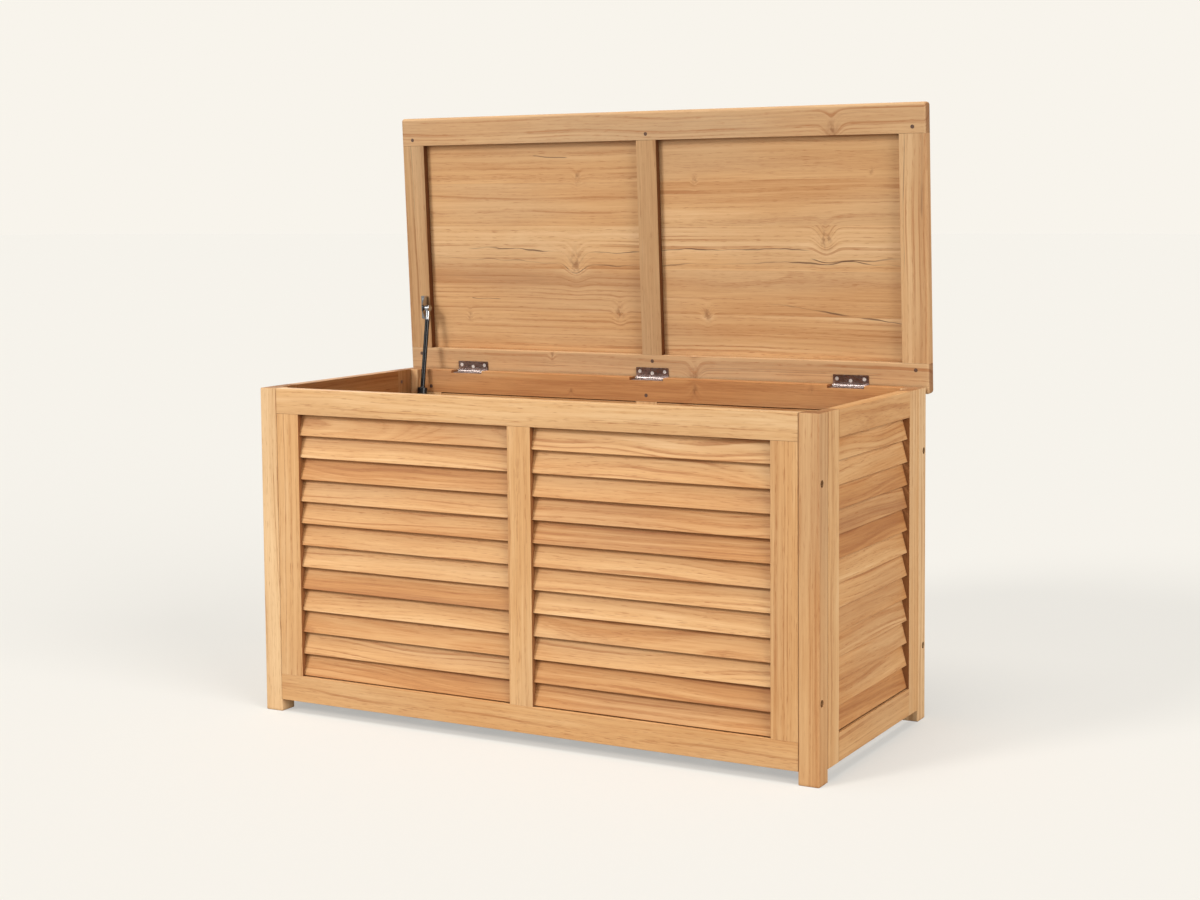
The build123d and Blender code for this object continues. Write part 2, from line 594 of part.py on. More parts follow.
def main():
    """Build every node and write it."""
    os.makedirs("parts", exist_ok=True)
    front, long_pegs = long_panel()
    side, short_pegs = short_panel()
    seat = Pos(0, 0, GROUND_GAP)
    places = {
        "front": seat,
        "back": Pos(0, DEPTH, 0) * seat * Rot(0, 0, 180),
        "left": Pos(-WIDTH / 2, DEPTH / 2, 0) * seat * Rot(0, 0, -90),
        "right": Pos(WIDTH / 2, DEPTH / 2, 0) * seat * Rot(0, 0, 90),
    }
    bolts, nuts, bores = [], [], {}
    for lr, sign in (("left", -1), ("right", 1)):
        for end, y in (("front", PANEL / 2), ("rear", DEPTH - PANEL / 2)):
            made = bolt_tools(sign, y)
            bolts += made[0]
            nuts += made[1]
            bores[(lr, end)] = made[2]
            save(f"leg_{end}_{lr}", leg(sign, end == "rear", made[2]))
    pegs = []
    for wall, end in (("front", "front"), ("back", "rear")):
        pegs += [places[wall] * p for p in long_pegs]
        for name, shape in front.items():
            made = [places[wall] * s for s in as_list(shape)]
            lr = next((lr for lr in ("left", "right") if name.endswith(lr)), None)
            if wall == "back" and lr:
                lr, name = swapped(lr), name.replace(lr, swapped(lr))
            if name.startswith("stile") and lr:
                made = [cut(made[0], bores[(lr, end)])]
            if wall == "back" and name == "top_rail":
                made = [cut(made[0], hinge_recesses())]
            save(f"{wall}_{name}", made)
    for wall, low_end, high_end in (("left", "rear", "front"), ("right", "front", "rear")):
        pegs += [places[wall] * p for p in short_pegs]
        for name, shape in side.items():
            name = name.replace("low_end", low_end).replace("high_end", high_end)
            save(f"{wall}_{name}", [places[wall] * s for s in as_list(shape)])
    save("frame_pegs", pegs)
    save("panel_bolts", bolts)
    save("barrel_nuts", nuts)

    cleats, boards, screws = floor()
    save("floor_cleats", cleats)
    save("floor_boards", boards)
    save("floor_screws", screws)

    for name, shape in lid_frame().items():
        save("lid_" + name, opened(as_list(shape)))

    box_leaves, lid_leaves, pins, box_screws, lid_screws = hinges()
    for name, box_leaf, lid_leaf in zip(("left", "middle", "right"), box_leaves, lid_leaves):
        save(f"hinge_box_leaf_{name}", box_leaf)
        save(f"hinge_lid_leaf_{name}", opened([lid_leaf]))
    save("hinge_pins", pins)

    bracket, bracket_screws = lid_bracket()
    foot, foot_screws = foot_bracket()
    save("strut_lid_bracket", opened([bracket]))
    save("strut_lid_stud", opened([Pos(STRUT_X, STRUT_LID_Y, STRUT_LID_Z) * stud(True)]))
    save("strut_foot_bracket", foot)
    save("lid_screws", opened(lid_screws + bracket_screws))
    save("box_screws", box_screws + foot_screws)
    stand = Location((STRUT_X, STRUT_FOOT_Y, STRUT_FOOT_Z), (-STRUT_LEAN, 0, 0))
    for name, shape in strut().items():
        save(name, stand * shape)


main()
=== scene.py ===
import json
from math import pi, radians

import bpy
from mathutils import Matrix, Vector


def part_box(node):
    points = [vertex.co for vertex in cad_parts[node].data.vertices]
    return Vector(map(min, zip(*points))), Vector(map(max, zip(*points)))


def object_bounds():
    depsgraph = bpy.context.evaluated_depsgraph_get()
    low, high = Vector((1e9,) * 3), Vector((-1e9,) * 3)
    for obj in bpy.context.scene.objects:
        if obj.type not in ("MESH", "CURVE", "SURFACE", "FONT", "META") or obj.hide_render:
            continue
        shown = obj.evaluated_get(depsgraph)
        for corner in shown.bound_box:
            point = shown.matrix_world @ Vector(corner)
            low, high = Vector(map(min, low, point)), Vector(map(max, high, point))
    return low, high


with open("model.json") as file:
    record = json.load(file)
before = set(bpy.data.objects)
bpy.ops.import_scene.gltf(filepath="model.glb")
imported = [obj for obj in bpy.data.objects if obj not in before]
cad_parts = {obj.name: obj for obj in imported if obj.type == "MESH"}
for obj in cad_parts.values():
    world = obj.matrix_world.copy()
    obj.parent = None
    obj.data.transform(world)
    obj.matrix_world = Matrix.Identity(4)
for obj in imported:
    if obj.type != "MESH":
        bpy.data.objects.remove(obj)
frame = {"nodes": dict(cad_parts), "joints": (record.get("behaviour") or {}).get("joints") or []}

# The CAD model's box, before anything is made around it
CAD_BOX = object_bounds()

# Lid angle at rest, from the joint that closes it
LID_JOINT = next(j for j in frame["joints"] if j["child"] == "lid")
LID_OPEN = radians(LID_JOINT["range_deg"][1])

# Wood tones, light to dark, in linear light
PALE = (0.86, 0.60, 0.335)
HONEY = (0.70, 0.405, 0.180)
AMBER = (0.56, 0.265, 0.094)
RUSSET = (0.40, 0.155, 0.050)
KNOT = (0.2425, 0.0955, 0.035)
UMBER = (0.085, 0.036, 0.020)
GREIGE = (0.60, 0.415, 0.245)
END_GRAIN = (0.58, 0.47, 0.40)
# A brown that darkens the colour as painted shade in corners and on recess walls
PAINTED_SHADE_BROWN = (0.42, 0.30, 0.22)
DOWEL_DARK = (0.055, 0.028, 0.020)
DOWEL_LIGHT = (0.17, 0.085, 0.050)

# Studio colours
PAPER = (0.939, 0.905, 0.838)
FLOOR = (0.45, 0.435, 0.41)
FLOOR_LIFT = (0.421, 0.421, 0.405)
LIGHT_WARM = (1.0, 0.965, 0.91)
LIGHT_SOFT = (1.0, 0.985, 0.955)

# Counts of boards stacked side by side in one node
SLATS = 12
FLOOR_BOARDS = 11
LID_BOARDS = 5

# Louvres sawn from darker and from paler boards, counted from the bottom of a bay, and how far they differ
DARK_LOUVRES = {"front_slats_left": (0, 4, 9), "front_slats_right": (0, 1, 7), "right_slats": (0, 7, 8, 9)}
PALE_LOUVRES = {"front_slats_left": (5, 10), "front_slats_right": (10, 11), "right_slats": (6, 10)}
DARKER, PALER = -0.15, 0.09

# Knots and mineral streaks of the rail that is seen over the front of the box
BACK_RAIL_FIGURE = {"streaks": 0.45, "knots": ((0.60, 0.55, 0.011), (0.34, 0.30, 0.006), (0.83, 0.75, 0.006))}


class Shader:
    """One node tree, with short ways to add and join its nodes."""

    def __init__(self, tree):
        self.tree = tree

    def feed(self, socket, value):
        """Joins a socket to another, or sets its own value."""
        if isinstance(value, bpy.types.NodeSocket):
            self.tree.links.new(value, socket)
        elif socket.type == "RGBA" and len(value) == 3:
            socket.default_value = (*value, 1.0)
        else:
            socket.default_value = value

    def add(self, kind, inputs=None, **properties):
        """Adds a node, sets its properties and feeds its inputs by name or number."""
        made = self.tree.nodes.new("ShaderNode" + kind)
        for name, value in properties.items():
            setattr(made, name, value)
        for name, value in (inputs or {}).items():
            self.feed(made.inputs[name], value)
        return made

    def math(self, operation, *values, clamp=False):
        made = self.add("Math", dict(enumerate(values)), operation=operation, use_clamp=clamp)
        return made.outputs[0]

    def mix(self, factor, first, second, blend="MIX"):
        made = self.add("Mix", {0: factor, 6: first, 7: second}, data_type="RGBA", blend_type=blend)
        return made.outputs[2]

    def ramp(self, value, stops, interpolation="LINEAR"):
        """A colour ramp from (place, colour) stops."""
        made = self.add("ValToRGB", {0: value})
        made.color_ramp.interpolation = interpolation
        elements = made.color_ramp.elements
        while len(elements) < len(stops):
            elements.new(1.0)
        for element, (place, colour) in zip(elements, stops):
            element.position = place
            element.color = (*colour, 1.0) if len(colour) == 3 else colour
        return made.outputs[0]

    def spread(self, value, low, high, to_low=0.0, to_high=1.0):
        """A value eased from one range to another."""
        made = self.add("MapRange", {0: value, 1: low, 2: high, 3: to_low, 4: to_high},
                        interpolation_type="SMOOTHSTEP")
        return made.outputs[0]

    def combine(self, x, y, z):
        return self.add("CombineXYZ", {0: x, 1: y, 2: z}).outputs[0]

    def noise(self, vector, detail=2.0, roughness=0.5, scale=1.0):
        """3-D noise of a point, about 0.5."""
        inputs = {"Vector": vector, "Scale": scale, "Detail": detail, "Roughness": roughness}
        return self.add("TexNoise", inputs, noise_dimensions="3D").outputs[0]

    def wave_noise(self, value, detail=2.0, roughness=0.5):
        """1-D noise along a value, about 0.5."""
        inputs = {"W": value, "Scale": 1.0, "Detail": detail, "Roughness": roughness}
        return self.add("TexNoise", inputs, noise_dimensions="1D").outputs[0]


def new_material(name):
    """A material with only a Principled shader and its output, and a Shader to build it with."""
    made = bpy.data.materials.new(name)
    made.use_nodes = True
    made.node_tree.nodes.clear()
    shader = Shader(made.node_tree)
    output = shader.add("OutputMaterial")
    principled = shader.add("BsdfPrincipled")
    shader.feed(output.inputs["Surface"], principled.outputs[0])
    return made, shader, principled


class Timber:
    """Where a point is within its own board, and the growth rings of the log that it was cut from."""

    def __init__(self, s, box, grain, seed, boards, pith, flame, knots, lid):
        """box is the node's corners, and grain is its three axes: along, across and through the boards.

        A knot is (part of the way along, part of the way across, radius), and the rings dip round it.
        """
        self.s = s
        place = s.add("TexCoord")
        point, facing = place.outputs["Object"], place.outputs["Normal"]
        if lid:
            point = s.add("Mapping", {"Vector": point, "Rotation": (LID_OPEN, 0, 0)}).outputs[0]
            facing = s.add("Mapping", {"Vector": facing, "Rotation": (LID_OPEN, 0, 0)}).outputs[0]
        axes = s.add("SeparateXYZ", {0: point}).outputs
        along, across, through = (axes["XYZ".index(a)] for a in grain)
        low = [box[0]["XYZ".index(a)] for a in grain]
        size = [box[1]["XYZ".index(a)] - box[0]["XYZ".index(a)] for a in grain]

        # Parts of the way along and across the whole node, and the dip round each knot
        self.part_along = s.math("DIVIDE", s.math("SUBTRACT", along, low[0]), size[0])
        self.part_across = s.math("DIVIDE", s.math("SUBTRACT", across, low[1]), size[1])
        dip, self.heart = 0.0, 0.0
        for knot_along, knot_across, radius in knots:
            da = s.math("MULTIPLY", s.math("SUBTRACT", self.part_along, knot_along), size[0] / radius)
            dc = s.math("SUBTRACT", self.part_across, knot_across)
            dc = s.math("MULTIPLY", dc, 0.55 * size[1] / radius)
            near = s.math("ADD", s.math("MULTIPLY", da, da), s.math("MULTIPLY", dc, dc))
            bulge = s.math("EXPONENT", s.math("MULTIPLY", near, -0.8))
            dip = s.math("MULTIPLY_ADD", bulge, 1.5 * radius, dip)
            core = s.math("EXPONENT", s.math("MULTIPLY", near, -2.5))
            self.heart = s.math("ADD", self.heart, core, clamp=True)

        # The board's number in its node, and three random numbers of its own
        pitch = size[1] / boards
        step = s.math("DIVIDE", s.math("SUBTRACT", across, low[1]), pitch)
        self.number = s.math("MAXIMUM", s.math("MINIMUM", s.math("FLOOR", step), boards - 1.0), 0.0)
        white = s.add("TexWhiteNoise", {"Vector": s.combine(self.number, float(seed), 0.5)})
        self.chance = s.add("SeparateColor", {0: white.outputs["Color"]}).outputs
        middle = s.math("SUBTRACT", s.math("SUBTRACT", step, self.number), 0.5)
        self.across = s.math("MULTIPLY", middle, pitch)
        self.through = s.math("SUBTRACT", through, low[2] + size[2] / 2)
        shift = s.math("MULTIPLY", self.chance[0], 17.0)
        self.along = s.math("ADD", s.math("SUBTRACT", along, low[0] + size[0] / 2), shift)
        parts = s.add("SeparateXYZ", {0: facing}).outputs
        self.end = s.spread(s.math("ABSOLUTE", parts["XYZ".index(grain[0])]), 0.55, 0.9)
        self.sideways = parts["XYZ".index(grain[1])]

        # The pith lies beside and behind the board and wanders slowly, which draws the flames
        bend = s.noise(s.combine(s.math("MULTIPLY", self.along, 1.9), shift, 3.1), detail=1.0)
        sink = s.noise(s.combine(s.math("MULTIPLY", self.along, 2.3), shift, 9.7), detail=1.0)
        beside = s.math("MULTIPLY", s.math("SUBTRACT", self.chance[1], 0.5), 2 * pith)
        beside = s.math("MULTIPLY_ADD", s.math("SUBTRACT", bend, 0.5), flame, beside)
        behind = s.math("MULTIPLY_ADD", self.chance[2], 0.5 * pith, 0.035)
        behind = s.math("MULTIPLY_ADD", s.math("SUBTRACT", sink, 0.5), flame, behind)
        side = s.math("SUBTRACT", s.math("SUBTRACT", self.across, beside), dip)
        deep = s.math("ADD", self.through, behind)
        ring = s.math("SQRT", s.math("ADD", s.math("MULTIPLY", side, side), s.math("MULTIPLY", deep, deep)))
        ripple = s.math("SUBTRACT", self.noise(7.0, 30.0, detail=2.0), 0.5)
        self.ring = s.math("MULTIPLY_ADD", ripple, 0.0035, ring)
        level = s.math("SUBTRACT", self.part_across, s.math("DIVIDE", dip, size[1]))
        waver = s.math("SUBTRACT", s.wave_noise(s.math("MULTIPLY", self.along, 7.0), detail=3.0), 0.5)
        self.level = s.math("MULTIPLY_ADD", waver, 0.016 / size[1], level)
        self.width = size[1]

    def noise(self, along, across, detail=2.0, roughness=0.5):
        """Noise with this many features per metre along and across the grain, about 0.5."""
        scaled = [self.s.math("MULTIPLY", value, scale)
                  for value, scale in ((self.along, along), (self.across, across), (self.through, across))]
        return self.s.noise(self.s.combine(*scaled), detail, roughness)

    def rings(self, per_metre, start, detail=1.0, roughness=0.5):
        """Noise that only changes from ring to ring, about 0.5."""
        offset = self.s.math("MULTIPLY", self.chance[2], start)
        return self.s.wave_noise(self.s.math("MULTIPLY_ADD", self.ring, per_metre, offset), detail, roughness)


def drawn_vein(s, wood, start, finish, width):
    """A dark mineral line between two (part along, part across) points, thin and slightly broken."""
    run = s.math("MULTIPLY", s.math("SUBTRACT", wood.part_along, start[0]), 1.0 / (finish[0] - start[0]))
    line = s.math("MULTIPLY_ADD", s.math("MAXIMUM", run, 0.0), finish[1] - start[1], start[1])
    off = s.math("MULTIPLY", s.math("ABSOLUTE", s.math("SUBTRACT", wood.level, line)), wood.width)
    swell = s.spread(wood.noise(16.0, 40.0, detail=2.0), 0.35, 0.65, 0.45 * width, 1.5 * width)
    ends = s.math("MULTIPLY", s.spread(run, -0.02, 0.06), s.spread(run, 1.02, 0.90))
    return s.math("MULTIPLY", s.spread(s.math("DIVIDE", off, swell), 1.0, 0.2), ends)


def teak(name, box, grain, seed, tone=0.0, grey=0.0, boards=1, pith=0.16, flame=0.035, bold=1.0,
         shaded_side=None, streaks=0.0, tones=None, knots=(), bands=(), veins=(), lid=False):
    """Oiled teak: soft colour zones, thin late-wood lines, dark streaks, pores, knots, end grain and painted
    shade.

    The long side faces named "low", "high" or "both" are darkened as painted shade of recess and housing
    walls.
    A band is (part across, part wide, lift), and a vein is (start, finish, width).
    """
    made, s, principled = new_material(name)
    wood = Timber(s, box, grain, seed, boards, pith, flame, knots, lid)
    lines = wood.rings(150.0, 31.0, detail=4.0, roughness=0.62)
    zones = wood.rings(26.0, 47.0, detail=1.0)
    cloud = wood.noise(2.6, 13.0, detail=2.0)
    fibre = wood.noise(9.0, 300.0, detail=3.0, roughness=0.7)
    fade = wood.noise(5.0, 24.0, detail=1.0)

    # From russet late wood to pale early wood
    value = s.math("MULTIPLY_ADD", s.math("SUBTRACT", lines, 0.5), 0.38 * bold, 0.56 + tone)
    value = s.math("MULTIPLY_ADD", s.math("SUBTRACT", zones, 0.5), 0.46 * bold, value)
    value = s.math("MULTIPLY_ADD", s.math("SUBTRACT", cloud, 0.5), 0.34, value)
    value = s.math("MULTIPLY_ADD", s.math("SUBTRACT", fibre, 0.5), 0.46, value)
    for centre, wide, lift in bands:
        off = s.math("DIVIDE", s.math("SUBTRACT", wood.level, centre), wide)
        bell = s.math("EXPONENT", s.math("MULTIPLY", s.math("MULTIPLY", off, off), -1.0))
        value = s.math("MULTIPLY_ADD", bell, lift, value)
    if tones:
        lifts = [(n / len(tones), (0.5 + t,) * 3) for n, t in enumerate(tones)]
        share = s.math("DIVIDE", s.math("ADD", wood.number, 0.5), float(len(tones)))
        chosen = s.ramp(share, lifts, "CONSTANT")
        value = s.math("ADD", value, s.math("SUBTRACT", chosen, 0.5))
    if boards > 1:
        value = s.math("MULTIPLY_ADD", s.math("SUBTRACT", wood.chance[1], 0.5), 0.05, value)
    colour = s.ramp(value, [(0.08, RUSSET), (0.34, AMBER), (0.60, HONEY), (0.92, PALE)])
    light = s.ramp(value, [(0.1, (0.66,) * 3), (0.9, (1.2,) * 3)])
    weathered = s.spread(wood.noise(1.5, 9.0, detail=1.0), 0.42, 0.66)
    dull = s.math("MULTIPLY_ADD", weathered, 0.24, grey, clamp=True)
    colour = s.mix(dull, colour, s.mix(1.0, GREIGE, light, "MULTIPLY"))

    # Thin lines that come and go, and short dark pores
    thin = s.math("MULTIPLY", s.spread(lines, 0.46, 0.36), s.spread(fade, 0.40, 0.62))
    colour = s.mix(s.math("MULTIPLY", thin, 0.58 * bold), colour, RUSSET)
    pores = s.spread(wood.noise(42.0, 800.0, detail=1.0), 0.57, 0.70)
    pores = s.math("MULTIPLY", pores, s.spread(lines, 0.58, 0.42))
    colour = s.mix(s.math("MULTIPLY", pores, 0.68), colour, RUSSET)
    if streaks:
        vein = s.math("ABSOLUTE", s.math("SUBTRACT", wood.rings(30.0, 53.0, detail=2.0), 0.5))
        broken = s.spread(wood.noise(3.5, 20.0, detail=3.0), 0.50, 0.60)
        dark = s.math("MULTIPLY", s.spread(vein, 0.014, 0.0), broken)
        colour = s.mix(s.math("MULTIPLY", dark, streaks), colour, UMBER)
    for start, finish, width in veins:
        broken = s.spread(fade, 0.38, 0.56, 0.12, 0.80)
        dark = s.math("MULTIPLY", drawn_vein(s, wood, start, finish, width), broken)
        colour = s.mix(dark, colour, UMBER)
    if knots:
        swirl = s.spread(wood.noise(110.0, 70.0, detail=3.0), 0.40, 0.62, 0.05, 0.70)
        colour = s.mix(s.math("MULTIPLY", wood.heart, swirl), colour, KNOT)
    # Painted shade: the chosen long side faces, walls of recesses and housings, are darkened to a shade brown
    if shaded_side:
        side_shade_mask = {"low": s.math("MULTIPLY", wood.sideways, -1.0), "high": wood.sideways,
                  "both": s.math("ABSOLUTE", wood.sideways)}[shaded_side]
        colour = s.mix(s.spread(side_shade_mask, 0.80, 0.98), colour, s.mix(1.0, colour, PAINTED_SHADE_BROWN, "MULTIPLY"))

    # Painted shade: the colour is darkened to a shade brown where ambient occlusion finds corners, housings
    # and bolt holes
    open_sky = s.add("AmbientOcclusion", {"Distance": 0.012}, samples=4).outputs["AO"]
    painted_corner_shade = s.spread(open_sky, 0.80, 0.25, 0.0, 0.75)
    colour = s.mix(painted_corner_shade, colour, s.mix(1.0, colour, PAINTED_SHADE_BROWN, "MULTIPLY"))

    # End grain drinks more oil and is darker and rougher
    colour = s.mix(wood.end, colour, s.mix(1.0, colour, END_GRAIN, "MULTIPLY"))
    height = s.math("SUBTRACT", s.math("MULTIPLY", s.math("ADD", lines, fibre), 0.35), pores)
    bump = s.add("Bump", {"Height": height, "Strength": 0.30, "Distance": 0.0004})
    gloss = s.math("MULTIPLY_ADD", fibre, 0.16, s.math("MULTIPLY_ADD", wood.end, 0.15, 0.48))
    s.feed(principled.inputs["Base Color"], colour)
    s.feed(principled.inputs["Roughness"], gloss)
    s.feed(principled.inputs["Normal"], bump.outputs[0])
    principled.inputs["Specular IOR Level"].default_value = 0.30
    return made


def metal(name, colour, roughness, scratches, grain=(1.0, 1.0, 1.0)):
    """Plated or plain steel with fine wear in its gloss."""
    made, s, principled = new_material(name)
    point = s.add("TexCoord").outputs["Object"]
    lines = s.noise(s.add("Mapping", {"Vector": point, "Scale": grain}).outputs[0], detail=4.0, scale=900.0)
    smear = s.noise(point, detail=3.0, scale=60.0)
    rough = s.math("MULTIPLY_ADD", s.math("SUBTRACT", smear, 0.5), 0.10, roughness)
    rough = s.math("MULTIPLY_ADD", s.math("SUBTRACT", lines, 0.5), scratches, rough, clamp=True)
    tint = s.mix(s.spread(smear, 0.35, 0.70), tuple(0.86 * c for c in colour), colour)
    bump = s.add("Bump", {"Height": lines, "Strength": 0.08, "Distance": 0.0002})
    s.feed(principled.inputs["Base Color"], tint)
    s.feed(principled.inputs["Roughness"], rough)
    s.feed(principled.inputs["Normal"], bump.outputs[0])
    principled.inputs["Metallic"].default_value = 1.0
    return made


def black_paint(name, roughness):
    """Glossy black enamel with faint dust and orange peel."""
    made, s, principled = new_material(name)
    point = s.add("TexCoord").outputs["Object"]
    peel = s.noise(point, detail=2.0, scale=500.0)
    dust = s.noise(point, detail=4.0, scale=90.0)
    colour = s.mix(s.spread(dust, 0.45, 0.80), (0.006, 0.006, 0.007), (0.020, 0.020, 0.020))
    bump = s.add("Bump", {"Height": peel, "Strength": 0.06, "Distance": 0.0003})
    s.feed(principled.inputs["Base Color"], colour)
    s.feed(principled.inputs["Roughness"], s.math("MULTIPLY_ADD", dust, 0.12, roughness))
    s.feed(principled.inputs["Normal"], bump.outputs[0])
    principled.inputs["Specular IOR Level"].default_value = 0.3
    principled.inputs["Coat Weight"].default_value = 0.15
    principled.inputs["Coat Roughness"].default_value = 0.06
    return made


def dress(node, material):
    """Puts one material on a CAD node."""
    slots = frame["nodes"][node].data.materials
    slots.clear()
    slots.append(material)


def lid_box(node):
    """Lowest and highest corners of a lid node in the shut lid's axes, about the row's origin."""
    turn = Matrix.Rotation(LID_OPEN, 3, "X")
    corners = [turn @ v.co for v in frame["nodes"][node].data.vertices]
    low = Vector(min(c[i] for c in corners) for i in range(3))
    high = Vector(max(c[i] for c in corners) for i in range(3))
    return low, high


def bay_box(wall, node):
    """The box of a bay of louvres, taken between its rails so that every slat has an equal share."""
    low, high = (corner.copy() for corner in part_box(node))
    low.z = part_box(wall + "_bottom_rail")[1].z
    high.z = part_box(wall + "_top_rail")[0].z
    return low, high


def named(*words):
    """The CAD nodes whose names start with these words, in order."""
    return sorted(node for node in frame["nodes"] if node.startswith("_".join(words)))


def dress_box():
    """Teak for the legs, panels and floor."""
    leg_tones = {
        "leg_front_left": 0.12,
        "leg_front_right": -0.12,
        "leg_rear_left": 0.05,
        "leg_rear_right": 0.16,
    }
    for seed, (node, tone) in enumerate(leg_tones.items()):
        dress(node, teak("teak_" + node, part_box(node), "ZXY", 10 + seed, tone=tone, grey=0.12, bold=0.7))
    for count, wall in enumerate(("front", "back", "left", "right")):
        long_way, thick = "XY" if wall in ("front", "back") else "YX"
        seed = 30 + 20 * count
        for number, node in enumerate((wall + "_bottom_rail", wall + "_top_rail")):
            # The back rails are given a much darker tone as painted shade of the box's inside
            tone = {"front": 0.15 * number - 0.07, "back": -0.22, "left": -0.10, "right": -0.06}[wall]
            figure = BACK_RAIL_FIGURE if node == "back_top_rail" else {}
            dress(node, teak("teak_" + node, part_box(node), long_way + "Z" + thick, seed + number,
                             tone=tone, grey=-0.05, bold=0.8, flame=0.015, **figure))
        # Stiles get painted shade on both side walls, where the slats are housed
        for number, node in enumerate(named(wall, "stile")):
            dress(node, teak("teak_" + node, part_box(node), "Z" + long_way + thick, seed + 4 + number,
                             tone=0.04 - 0.05 * number, bold=0.7, flame=0.015, shaded_side="both"))
        for number, node in enumerate(named(wall, "slats")):
            dark, pale = DARK_LOUVRES.get(node, ()), PALE_LOUVRES.get(node, ())
            tones = [DARKER * (n in dark) + PALER * (n in pale) for n in range(SLATS)]
            dress(node, teak("teak_" + node, bay_box(wall, node), long_way + "Z" + thick, seed + 8 + number,
                             tone=-0.07 if wall == "front" else -0.10, grey=-0.08, boards=SLATS, bold=0.9,
                             flame=0.05, tones=tones))
    dress("floor_boards", teak("teak_floor_boards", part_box("floor_boards"), "YXZ", 120, boards=FLOOR_BOARDS))
    dress("floor_cleats", teak("teak_floor_cleats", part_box("floor_cleats"), "XYZ", 121))


def dress_lid():
    """Teak for the lid's frame and its glued panels, whose knots and mineral lines cross their joints."""
    rails = {
        "lid_front_rail": ((0.84, 0.85, 0.016),),
        "lid_rear_rail": ((0.58, 0.60, 0.014), (0.30, 0.15, 0.007)),
    }
    for number, (node, knots) in enumerate(rails.items()):
        dress(node, teak("teak_" + node, lid_box(node), "XYZ", 140 + number, tone=-0.06, grey=0.45,
                         streaks=0.30, flame=0.03, knots=knots, lid=True))
    # Each lid upright's tone, and the side wall that gets painted shade beside the panel recess
    uprights = {
        "lid_stile_left": (-0.08, "high"),
        "lid_muntin": (0.08, "both"),
        "lid_stile_right": (-0.02, "low"),
    }
    for number, (node, (tone, shaded_side)) in enumerate(uprights.items()):
        dress(node, teak("teak_" + node, lid_box(node), "YXZ", 150 + number, tone=tone, grey=0.30,
                         bold=1.1, shaded_side=shaded_side, streaks=0.5, flame=0.02, lid=True))
    panels = {
        "lid_panel_left": {
            "knots": ((0.71, 0.18, 0.009), (0.69, 0.57, 0.020), (0.19, 0.83, 0.007), (0.88, 0.80, 0.012)),
            "bands": ((0.49, 0.045, 0.18), (0.64, 0.05, -0.12), (0.05, 0.04, -0.08), (0.25, 0.04, -0.06)),
            "veins": (((0.0, 0.545), (1.0, 0.585), 0.0017), ((0.2, 0.50), (1.0, 0.525), 0.0017),
                      ((0.51, 0.072), (0.67, 0.086), 0.0012), ((0.20, 0.735), (0.34, 0.745), 0.0012)),
        },
        "lid_panel_right": {
            "knots": ((0.16, 0.20, 0.007), (0.69, 0.46, 0.018), (0.20, 0.80, 0.011), (0.87, 0.17, 0.005)),
            "bands": ((0.50, 0.06, 0.15), (0.65, 0.05, -0.10), (0.30, 0.05, -0.05), (0.80, 0.06, 0.05)),
            "veins": (((0.0, 0.510), (0.63, 0.505), 0.0014), ((0.0, 0.580), (1.0, 0.548), 0.0017),
                      ((0.63, 0.540), (1.0, 0.582), 0.0014), ((0.45, 0.745), (1.0, 0.825), 0.0018)),
        },
    }
    for number, (node, figure) in enumerate(panels.items()):
        dress(node, teak("teak_" + node, lid_box(node), "XYZ", 160 + number, tone=-0.04, grey=0.15, bold=0.8,
                         boards=LID_BOARDS, flame=0.015, lid=True, **figure))


def dress_pegs():
    """Dark end-grain dowels."""
    made, s, principled = new_material("dowel")
    point = s.add("TexCoord").outputs["Object"]
    spots = s.noise(point, detail=3.0, scale=900.0)
    colour = s.mix(s.spread(spots, 0.35, 0.65), DOWEL_DARK, DOWEL_LIGHT)
    s.feed(principled.inputs["Base Color"], colour)
    s.feed(principled.inputs["Roughness"], s.math("MULTIPLY_ADD", spots, 0.2, 0.5))
    for node in ("frame_pegs", "lid_pegs"):
        dress(node, made)


def dress_hardware():
    """Dark steel hinges, bright screws, chrome brackets and studs, black bolts and the black gas strut."""
    hinge = metal("hinge_steel", (0.34, 0.285, 0.275), 0.27, 0.12, (0.15, 1.0, 1.0))
    chrome = metal("chrome", (0.46, 0.47, 0.49), 0.14, 0.05)
    screw = metal("screw_steel", (0.92, 0.91, 0.89), 0.46, 0.10)
    # The bolts' near-black colour is black steel darkened further as painted shade of their counterbores
    bolt = metal("bolt_steel", (0.018, 0.016, 0.015), 0.55, 0.15)
    enamel = black_paint("strut_enamel", 0.16)
    for node in frame["nodes"]:
        if node.startswith("hinge_"):
            dress(node, hinge)
        elif node in ("panel_bolts", "barrel_nuts"):
            dress(node, bolt)
        elif node.endswith("_screws"):
            dress(node, screw)
        elif node in ("strut_rod", "strut_tube"):
            dress(node, enamel)
        elif node.startswith("strut_"):
            dress(node, chrome)


def make_floor():
    """A plain pale floor far wider than the object, lifted to the backdrop's own colour."""
    half = 60.0
    mesh = bpy.data.meshes.new("floor")
    corners = [(-half, -half, 0), (half, -half, 0), (half, half, 0), (-half, half, 0)]
    mesh.from_pydata(corners, [], [(0, 1, 2, 3)])
    floor = bpy.data.objects.new("floor", mesh)
    bpy.context.scene.collection.objects.link(floor)
    made, s, principled = new_material("pale_floor")
    principled.inputs["Base Color"].default_value = (*FLOOR, 1.0)
    principled.inputs["Roughness"].default_value = 0.9
    principled.inputs["Specular IOR Level"].default_value = 0.0
    principled.inputs["Emission Color"].default_value = (*FLOOR_LIFT, 1.0)
    path = s.add("LightPath")
    s.feed(principled.inputs["Emission Strength"], path.outputs["Is Camera Ray"])
    mesh.materials.append(made)
    return floor


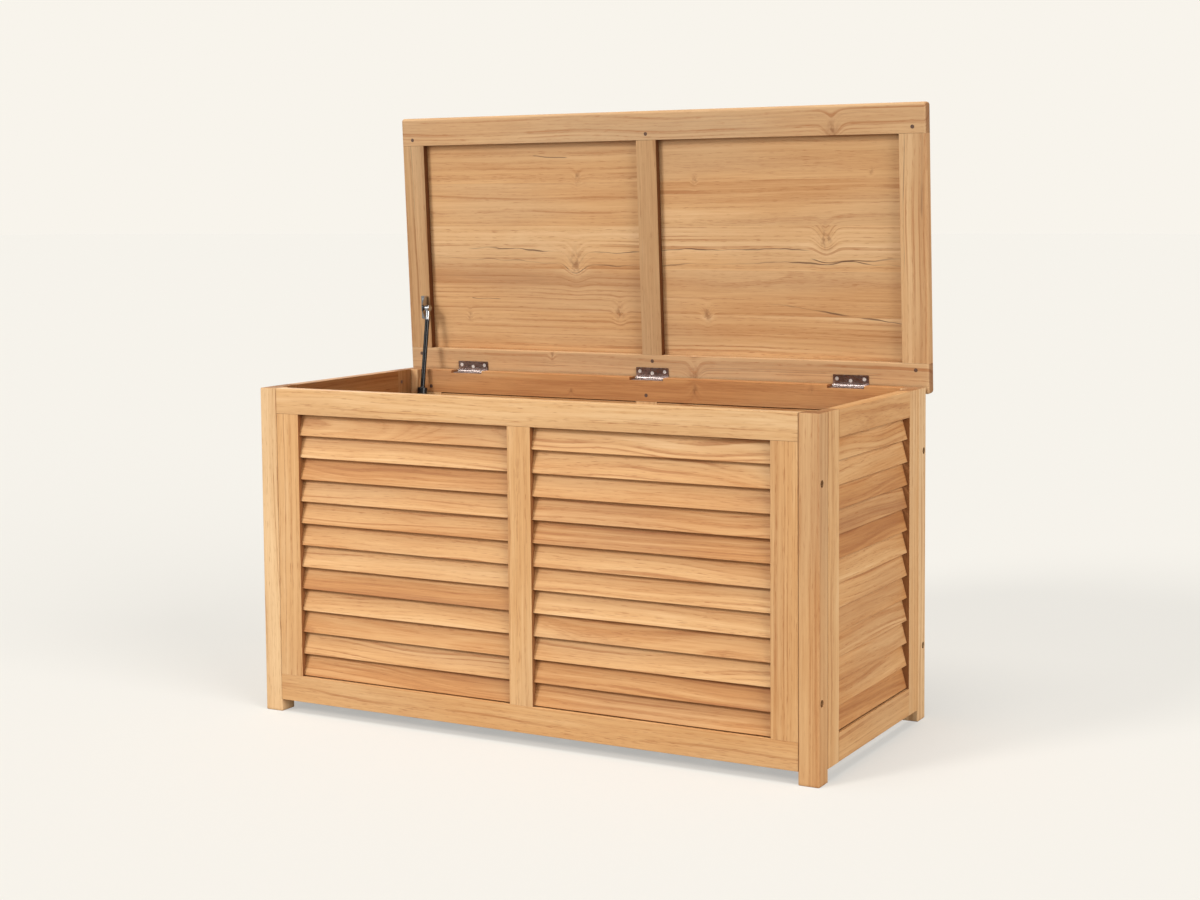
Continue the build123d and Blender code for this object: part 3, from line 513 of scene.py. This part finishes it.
def make_world():
    """Even warm white light from all round, in front of a paper backdrop."""
    world = bpy.data.worlds.new("studio")
    bpy.context.scene.world = world
    world.use_nodes = True
    s = Shader(world.node_tree)
    world.node_tree.nodes.clear()
    light = s.add("Background", {"Color": LIGHT_SOFT, "Strength": 0.26})
    seen = s.add("Background", {"Color": PAPER, "Strength": 1.0})
    path = s.add("LightPath")
    both = s.add("MixShader", {0: path.outputs["Is Camera Ray"], 1: light.outputs[0], 2: seen.outputs[0]})
    output = s.add("OutputWorld")
    s.feed(output.inputs["Surface"], both.outputs[0])


def add_light(name, kind, place, target, power, colour, **properties):
    """A light of one kind at a place, looking at a target."""
    data = bpy.data.lights.new(name, kind)
    data.energy = power
    data.color = colour
    for key, value in properties.items():
        setattr(data, key, value)
    light = bpy.data.objects.new(name, data)
    light.location = place
    light.rotation_mode = "QUATERNION"
    light.rotation_quaternion = (Vector(target) - Vector(place)).to_track_quat("-Z", "Y")
    bpy.context.scene.collection.objects.link(light)
    return light


def flag(light, pieces):
    """Keeps a light off some pieces, as a black card beside it would."""
    spared = bpy.data.collections.new("flagged_from_" + light.name)
    for piece in pieces:
        spared.objects.link(piece)
    light.light_linking.receiver_collection = spared
    for member in spared.collection_objects:
        member.light_linking.link_state = "EXCLUDE"


def make_lights(floor):
    """A broad key from the front left, a fill, a top light, a near softbox and a soft light from behind."""
    low, high = CAD_BOX
    middle = ((low[0] + high[0]) / 2, (low[1] + high[1]) / 2, high[2] / 2)
    add_light("key", "SUN", (-2.0, -3.5, 3.1), middle, 1.3, LIGHT_WARM, angle=radians(14))
    add_light("top", "SUN", (-0.2, -0.6, 3.6), middle, 1.3, LIGHT_WARM, angle=radians(30))
    fill = add_light("fill", "SUN", (4.0, -1.4, 2.2), middle, 2.1, LIGHT_SOFT, angle=radians(40))
    softbox = add_light("softbox", "AREA", (-2.2, -2.9, 1.7), middle, 28.0, LIGHT_WARM, size=1.6)
    back = add_light("back", "SUN", (-2.2, 4.2, 2.6), middle, 0.75, LIGHT_SOFT, angle=radians(50))
    for light in (softbox, back):
        flag(light, [floor])
    inner = named("left") + ["lid_stile_left", "lid_muntin"]
    flag(fill, [frame["nodes"][node] for node in inner])


def make_camera():
    """The camera, a little lower than the open lid's top and to the right of the front."""
    place = (1.8914, -3.38961, 1.0048)
    yaw, pitch, roll = 0.5015, -0.0746, -0.0079
    data = bpy.data.cameras.new("camera")
    data.sensor_width = 36.0
    data.lens = 59.28
    data.shift_x = -0.00575
    data.shift_y = -0.08
    camera = bpy.data.objects.new("camera", data)
    aim = Matrix.Rotation(yaw, 4, "Z") @ Matrix.Rotation(pi / 2 + pitch, 4, "X")
    camera.matrix_world = Matrix.Translation(place) @ aim @ Matrix.Rotation(roll, 4, "Z")
    bpy.context.scene.collection.objects.link(camera)
    bpy.context.scene.camera = camera


bpy.context.scene.view_settings.view_transform = "Standard"
dress_box()
dress_lid()
dress_pegs()
dress_hardware()
make_world()
make_lights(make_floor())
make_camera()

bpy.context.view_layer.update()
